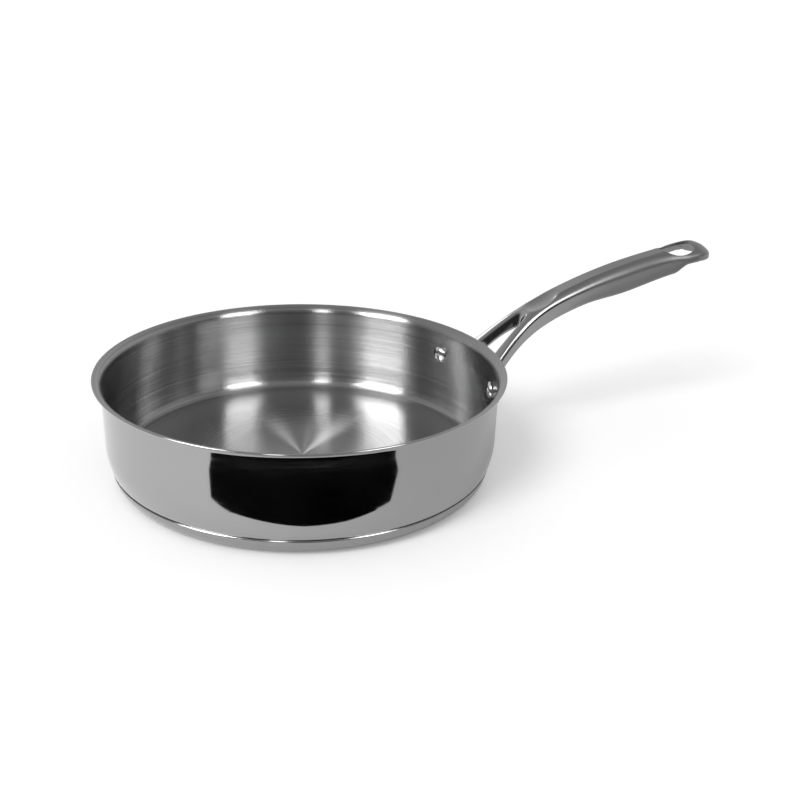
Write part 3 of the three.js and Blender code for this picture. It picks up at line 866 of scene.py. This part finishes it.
    def depth(self, points):
        """How deep points lie inside the finished casting."""
        x, y, z = points[..., 0], points[..., 1], points[..., 2]
        out = x - self.wall
        bar = soft_least(self.bar(out, y, z), self.tip(out, y), TIP_BLEND)
        bar = soft_least(bar, -self.fork(out, y, z), FORK_BLEND)
        bar = soft_least(bar, self.thumb(out, y, z), THUMB_BLEND)
        bar = soft_least(bar, -self.hole(out, y, z), HOLE_BLEND)
        cast = soft_most(bar, self.foot(x, y, z), FOOT_FILLET)
        lean = math.tan(self.size.draft)
        wall = self.wall - (self.profile.lip_start / MM - z) * lean + self.size.fit_gap / MM
        return np.minimum(cast, np.hypot(x, y) - wall)


def skin(depth, low, high, pitch):
    """Points and four-sided faces on the surface where a depth is zero.

    Each cell of a grid that the surface crosses gets one point, which is then drawn onto the
    surface itself, so the skin is as smooth as the depth."""
    axes = [np.arange(a, b + pitch, pitch) for a, b in zip(low, high)]
    grid = np.stack(np.meshgrid(*axes, indexing="ij"), axis=-1)
    value = np.empty(grid.shape[:3])
    for i in range(grid.shape[0]):
        value[i] = depth(grid[i])
    solid = value > 0
    cells = tuple(n - 1 for n in value.shape)
    corners = [solid[i:i + cells[0], j:j + cells[1], k:k + cells[2]]
               for i in (0, 1) for j in (0, 1) for k in (0, 1)]
    filled = sum(c.astype(np.int8) for c in corners)
    crossed = (filled > 0) & (filled < len(corners))
    number = np.full(cells, -1)
    number[crossed] = np.arange(crossed.sum())
    points = np.argwhere(crossed) * pitch + np.array(low) + pitch / 2
    faces = []
    for axis in range(3):
        a, b = [i for i in range(3) if i != axis]
        start = [slice(1, -1)] * 3
        start[axis] = slice(0, -1)
        ahead = list(start)
        ahead[axis] = slice(1, None)
        change = solid[tuple(start)] != solid[tuple(ahead)]
        where = np.argwhere(change) + np.array([0 if i == axis else 1 for i in range(3)])
        outward = solid[tuple(start)][change]
        ring = []
        for da, db in ((0, 0), (-1, 0), (-1, -1), (0, -1)):
            cell = where.copy()
            cell[:, a] += da
            cell[:, b] += db
            ring.append(number[tuple(cell.T)])
        ring = np.stack(ring, axis=1)
        turned = outward if axis != 1 else ~outward
        ring[~turned] = ring[~turned][:, ::-1]
        faces.append(ring)
    faces = np.vstack(faces)
    for _ in range(DRAWN_TIMES):
        slope = gradient(depth, points)
        steep = np.maximum((slope ** 2).sum(axis=-1), LEAST_SLOPE)
        move = -slope * (depth(points) / steep)[:, None]
        points = points + np.clip(move, -pitch / 2, pitch / 2)
    return points, faces


def gradient(depth, points):
    """The direction in which a depth grows fastest at each point."""
    nudge = 0.05
    return np.stack([(depth(points + nudge * unit) - depth(points - nudge * unit)) / (2 * nudge)
                     for unit in np.eye(3)], axis=-1)


class PAN_OT_handle(bpy.types.Operator):
    """Cast the forked handle with its thumb rest, hanging hole and feet"""

    bl_idname = "pan.handle"
    bl_label = "Cast Handle"

    def execute(self, context):
        scene = context.scene
        size, handle, look = scene.pan_sizes, scene.pan_handle, scene.pan_finishes
        casting = Casting(size, handle)
        low, high = [np.array(corner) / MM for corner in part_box("handle")]
        pitch = handle.mesh_pitch / MM
        margin = 2 * pitch
        points, faces = skin(casting.depth, low - margin, high + margin, pitch)
        points = np.clip(points, low, high)
        mesh = bpy.data.meshes.new("cast_handle")
        mesh.from_pydata((points * MM).tolist(), [], faces.tolist())
        mesh.validate()
        mesh.shade_smooth()
        outward = -gradient(casting.depth, points)
        outward /= np.linalg.norm(outward, axis=1)[:, None]
        mesh.normals_split_custom_set_from_vertices(outward.tolist())
        mesh.materials.append(cast_steel(look))
        piece = bpy.data.objects.new("cast_handle", mesh)
        scene.collection.objects.link(piece)
        seat(piece, "handle_steel", "handle")
        return {"FINISHED"}


# Directions in plan: towards the camera and to its right.
TO_CAMERA = Vector((-0.4435, -0.8963, 0))
TO_RIGHT = Vector((0.8963, -0.4435, 0))

# Camera: its place in metres, the directions behind it and to its right, its roll in degrees and
# the width of its sensor in millimetres.
CAMERA_PLACE = Vector((-0.2594, -0.6623, 0.34105))
CAMERA_BACK = Vector((-0.40979, -0.82805, 0.38263))
CAMERA_RIGHT = Vector((0.89625, -0.44354, 0))
CAMERA_ROLL = 1.4777
SENSOR_WIDTH = 36

# Soft lamps for the pan and for its handle, which metal shows. turn is in degrees from the camera
# to its right, and lift in degrees above the floor. Sizes are in metres and power is in watts.
PAN_LAMPS = {
    "right_strip": dict(turn=49, lift=39, wide=0.36, high=0.48, power=5.4),
    "front_strip": dict(turn=-10, lift=39, wide=0.15, high=0.48, power=1.7),
    "left_bank": dict(turn=-55, lift=39, wide=0.5, high=0.48, power=11.5),
}
HANDLE_LAMPS = {
    "ridge_strip": dict(turn=52, lift=41, wide=0.36, high=0.4, power=1.5),
    "back_strip": dict(turn=-161, lift=24, wide=0.22, high=0.12, power=0.16),
}
LAMP_DISTANCE = 1.1

# Even lights on the floor. spread is in degrees and softens the shadow.
FLOOR_LIGHTS = {
    "key_light": dict(turn=-36, lift=45, spread=26, strength=1.28),
    "top_light": dict(turn=0, lift=88, spread=110, strength=1.38),
}
LIGHT_DISTANCE = 2.0

# Floor, film and dark card, in metres. The film and the card show only in polished metal, where
# they paint shade and a dark reflection. The card's far edge is an arc round the pan. Its near edge
# has corners, as distances towards the camera and to its right.
FLOOR_HALF = 6
FILM_HALF = 2
FILM_HEIGHT = 0.0006
CARD_HEIGHT = 0.0004
CARD_REACH = 0.24
CARD_START = math.radians(-29)
CARD_END = math.radians(41)
CARD_STEPS = 12
CARD_NEAR_EDGE = [
    (0.165, 0.158), (0.152, 0.145), (0.1384, 0.104), (0.143, 0.0885), (0.1392, 0.05),
    (0.1412, 0.013), (0.1556, -0.05), (0.157, -0.0874), (0.180, -0.1154), (0.1936, -0.1237),
]


def pale_floor(stage):
    """Pale studio paper. To the camera and in polished metal it glows a little, so that it is
    white where no shadow lies."""
    material, tree = begin("pale_studio_paper")
    paper = add(tree, "ShaderNodeBsdfDiffuse", {"Color": stage.floor})
    glow = add(tree, "ShaderNodeEmission", {"Strength": stage.glow})
    seen = add(tree, "ShaderNodeAddShader", {0: paper.outputs[0], 1: glow.outputs[0]})
    path = add(tree, "ShaderNodeLightPath").outputs
    shiny = add(tree, "ShaderNodeMath", {0: path["Is Camera Ray"], 1: path["Is Glossy Ray"]},
                operation="MAXIMUM")
    clear = add(tree, "ShaderNodeMath", {0: shiny.outputs[0], 1: path["Is Transmission Ray"]},
                operation="MAXIMUM")
    mixed = add(tree, "ShaderNodeMixShader", {0: clear.outputs[0], 1: paper.outputs[0],
                                              2: seen.outputs[0]})
    add(tree, "ShaderNodeOutputMaterial", {"Surface": mixed.outputs[0]})
    return material


def dark_card(stage):
    """Dark card just above the studio floor that only polished metal shows: a painted dark
    reflection on the outside wall. It glows faintly and unevenly, which mottles the painted
    reflection.
    """
    material, tree = begin("dark_studio_card")
    place = add(tree, "ShaderNodeTexCoord").outputs["Object"]
    cloud = add(tree, "ShaderNodeTexNoise", {"Vector": place, "Scale": 8.0})
    tone = add(tree, "ShaderNodeMapRange", {"Value": cloud.outputs["Fac"], **NOISE_SPAN,
                                            "To Min": 0.2, "To Max": 1.2})
    glow = add(tree, "ShaderNodeEmission", {"Color": stage.card, "Strength": tone.outputs[0]})
    add(tree, "ShaderNodeOutputMaterial", {"Surface": glow.outputs[0]})
    return material


def reflection_shade_gel():
    """Clear film that turns grey to the camera's right, so that the wall darkens round its side.
    Only polished metal shows it, so the darkening is painted shade in the wall's reflection.
    """
    material, tree = begin("grey_studio_film")
    place = add(tree, "ShaderNodeTexCoord").outputs["Object"]
    side = add(tree, "ShaderNodeVectorMath", {0: place, 1: TO_RIGHT}, operation="DOT_PRODUCT")
    tone = add(tree, "ShaderNodeMapRange",
               {"Value": side.outputs["Value"], "From Min": -0.12, "From Max": 0.2,
                "To Min": 1.0, "To Max": 0.7}, interpolation_type="SMOOTHSTEP")
    film = add(tree, "ShaderNodeBsdfTransparent", {"Color": tone.outputs[0]})
    add(tree, "ShaderNodeOutputMaterial", {"Surface": film.outputs[0]})
    return material


def flat_card(name, height, material, corners):
    """A card just above the floor that only polished metal shows.

    Its corners are distances towards the camera and to its right."""
    mesh = bpy.data.meshes.new(name)
    places = [TO_CAMERA * ahead + TO_RIGHT * aside + Vector((0, 0, height))
              for ahead, aside in corners]
    mesh.from_pydata(places, [], [range(len(places))])
    mesh.materials.append(material)
    card = bpy.data.objects.new(name, mesh)
    card.visible_camera = False
    card.visible_diffuse = False
    card.visible_shadow = False
    return card


def studio_world(scene):
    """A studio that is pale behind the pan and dark behind the camera, to which it is white."""
    world = bpy.data.worlds.new("studio")
    scene.world = world
    world.use_nodes = True
    tree = world.node_tree
    tree.nodes.clear()
    place = add(tree, "ShaderNodeTexCoord").outputs["Generated"]
    up = add(tree, "ShaderNodeSeparateXYZ", {0: place}).outputs["Z"]
    pale = add(tree, "ShaderNodeMapRange", {"Value": up, "From Min": 0.5, "To Min": 0.65,
                                            "To Max": 0.3})
    dark = add(tree, "ShaderNodeMapRange", {"Value": up, "From Min": 0.25, "From Max": 0.75,
                                            "To Min": 0.04, "To Max": 0.46})
    ahead = add(tree, "ShaderNodeVectorMath", {0: place, 1: TO_CAMERA}, operation="DOT_PRODUCT")
    side = add(tree, "ShaderNodeMapRange", {"Value": ahead.outputs["Value"], "From Min": -0.3,
                                            "From Max": 0.5}, interpolation_type="SMOOTHSTEP")
    level = add(tree, "ShaderNodeMix", {"Factor": side.outputs[0], "A": pale.outputs[0],
                                        "B": dark.outputs[0]})
    room = add(tree, "ShaderNodeBackground", {"Strength": level.outputs["Result"]})
    fill = add(tree, "ShaderNodeBackground", {"Strength": 0.15})
    white = add(tree, "ShaderNodeBackground", {"Strength": 1.0})
    for light in (room, fill, white):
        light.inputs["Color"].default_value = (1, 1, 1, 1)
    path = add(tree, "ShaderNodeLightPath").outputs
    lit = add(tree, "ShaderNodeMixShader", {0: path["Is Diffuse Ray"], 1: room.outputs[0],
                                            2: fill.outputs[0]})
    mixed = add(tree, "ShaderNodeMixShader", {0: path["Is Camera Ray"], 1: lit.outputs[0],
                                              2: white.outputs[0]})
    add(tree, "ShaderNodeOutputWorld", {"Surface": mixed.outputs[0]})


def place_lamp(scene, data, turn, lift, distance):
    """Puts a lamp at an angle to the camera's right and above the floor, aimed at the pan."""
    lamp = bpy.data.objects.new(data.name, data)
    flat = TO_CAMERA * math.cos(turn) + TO_RIGHT * math.sin(turn)
    aim = flat * math.cos(lift) + Vector((0, 0, math.sin(lift)))
    lamp.location = aim * distance
    lamp.rotation_mode = "QUATERNION"
    lamp.rotation_quaternion = aim.to_track_quat("Z", "Y")
    scene.collection.objects.link(lamp)
    return lamp


def softbox(scene, name, turn, lift, wide, high, power):
    """A soft lamp that polished metal shows and that the floor doesn't see."""
    data = bpy.data.lights.new(name, "AREA")
    data.shape = "RECTANGLE"
    data.size = wide
    data.size_y = high
    data.energy = power
    lamp = place_lamp(scene, data, math.radians(turn), math.radians(lift), LAMP_DISTANCE)
    lamp.visible_diffuse = False
    return lamp


def only(name, *pieces):
    """A group of pieces that a lamp is kept to."""
    group = bpy.data.collections.new(name)
    for piece in pieces:
        group.objects.link(bpy.data.objects[piece])
    return group


def floor_light(scene, name, turn, lift, spread, strength):
    """An even light on the floor that casts the pan's shadow and that metal doesn't show."""
    data = bpy.data.lights.new(name, "SUN")
    data.angle = math.radians(spread)
    data.energy = strength
    lamp = place_lamp(scene, data, math.radians(turn), math.radians(lift), LIGHT_DISTANCE)
    lamp.visible_glossy = False


class PAN_OT_stage(bpy.types.Operator):
    """Set the floor, the dark card, the lamps, the sky and the camera"""

    bl_idname = "pan.stage"
    bl_label = "Stage"

    def execute(self, context):
        scene = context.scene
        look = scene.pan_stage
        mesh = bpy.data.meshes.new("floor")
        square = [(-1, -1), (1, -1), (1, 1), (-1, 1)]
        mesh.from_pydata([(FLOOR_HALF * x, FLOOR_HALF * y, 0) for x, y in square], [],
                         [range(len(square))])
        mesh.materials.append(pale_floor(look))
        floor = bpy.data.objects.new("floor", mesh)
        # The dark card and the grey film show only in polished metal: a painted dark reflection and
        # painted shade.
        far = arc((0, 0), CARD_REACH, CARD_START, CARD_END, CARD_STEPS)
        card = flat_card("dark_card", CARD_HEIGHT, dark_card(look), [*far, *CARD_NEAR_EDGE])
        film = flat_card("grey_film", FILM_HEIGHT, reflection_shade_gel(),
                         [(-FILM_HALF * y, FILM_HALF * x) for x, y in square])
        for piece in (floor, card, film):
            scene.collection.objects.link(piece)
        for lamps, group, pieces in (
                (PAN_LAMPS, "pan_light", ("drawn_body", "pressed_cap", "rivets")),
                (HANDLE_LAMPS, "handle_light", ("cast_handle",))):
            lit = only(group, *pieces)
            for name, setting in lamps.items():
                lamp = softbox(scene, name, **setting)
                lamp.light_linking.receiver_collection = lit
        for name, setting in FLOOR_LIGHTS.items():
            floor_light(scene, name, **setting)
        studio_world(scene)
        scene.view_settings.view_transform = "Standard"
        data = bpy.data.cameras.new("camera")
        data.lens = look.lens
        data.sensor_width = SENSOR_WIDTH
        camera = bpy.data.objects.new("camera", data)
        back = CAMERA_BACK.normalized()
        right = CAMERA_RIGHT.normalized()
        turned = Matrix((right, back.cross(right), back)).transposed().to_4x4()
        turned = turned @ Matrix.Rotation(math.radians(CAMERA_ROLL), 4, "Z")
        camera.matrix_world = Matrix.Translation(CAMERA_PLACE) @ turned
        scene.collection.objects.link(camera)
        scene.camera = camera
        return {"FINISHED"}


class PAN_PT_panel(bpy.types.Panel):
    """Buttons that build the pan, and its sizes and finishes"""

    bl_idname = "PAN_PT_panel"
    bl_label = "Braising Pan"
    bl_space_type = "VIEW_3D"
    bl_region_type = "UI"
    bl_category = "Pan"

    def draw(self, context):
        for made in OPERATORS:
            self.layout.operator(made.bl_idname)
        for group in GROUPS:
            settings = getattr(context.scene, group)
            for name in settings.bl_rna.properties.keys():
                if name not in {"rna_type", "name"}:
                    self.layout.prop(settings, name)


OPERATORS = (PAN_OT_body, PAN_OT_base, PAN_OT_handle, PAN_OT_rivets, PAN_OT_stage)
GROUPS = {"pan_sizes": PanSizes, "pan_handle": HandleSizes, "pan_finishes": Finishes,
          "pan_stage": StageLook}
CLASSES = (*GROUPS.values(), *OPERATORS, PAN_PT_panel)


def register():
    for made in CLASSES:
        bpy.utils.register_class(made)
    for name, group in GROUPS.items():
        setattr(bpy.types.Scene, name, PointerProperty(type=group))


def unregister():
    for name in GROUPS:
        delattr(bpy.types.Scene, name)
    for made in reversed(CLASSES):
        bpy.utils.unregister_class(made)


def main():
    register()
    bpy.ops.pan.body()
    bpy.ops.pan.base()
    bpy.ops.pan.handle()
    bpy.ops.pan.rivets()
    bpy.ops.pan.stage()


if __name__ == "__main__":
    main()
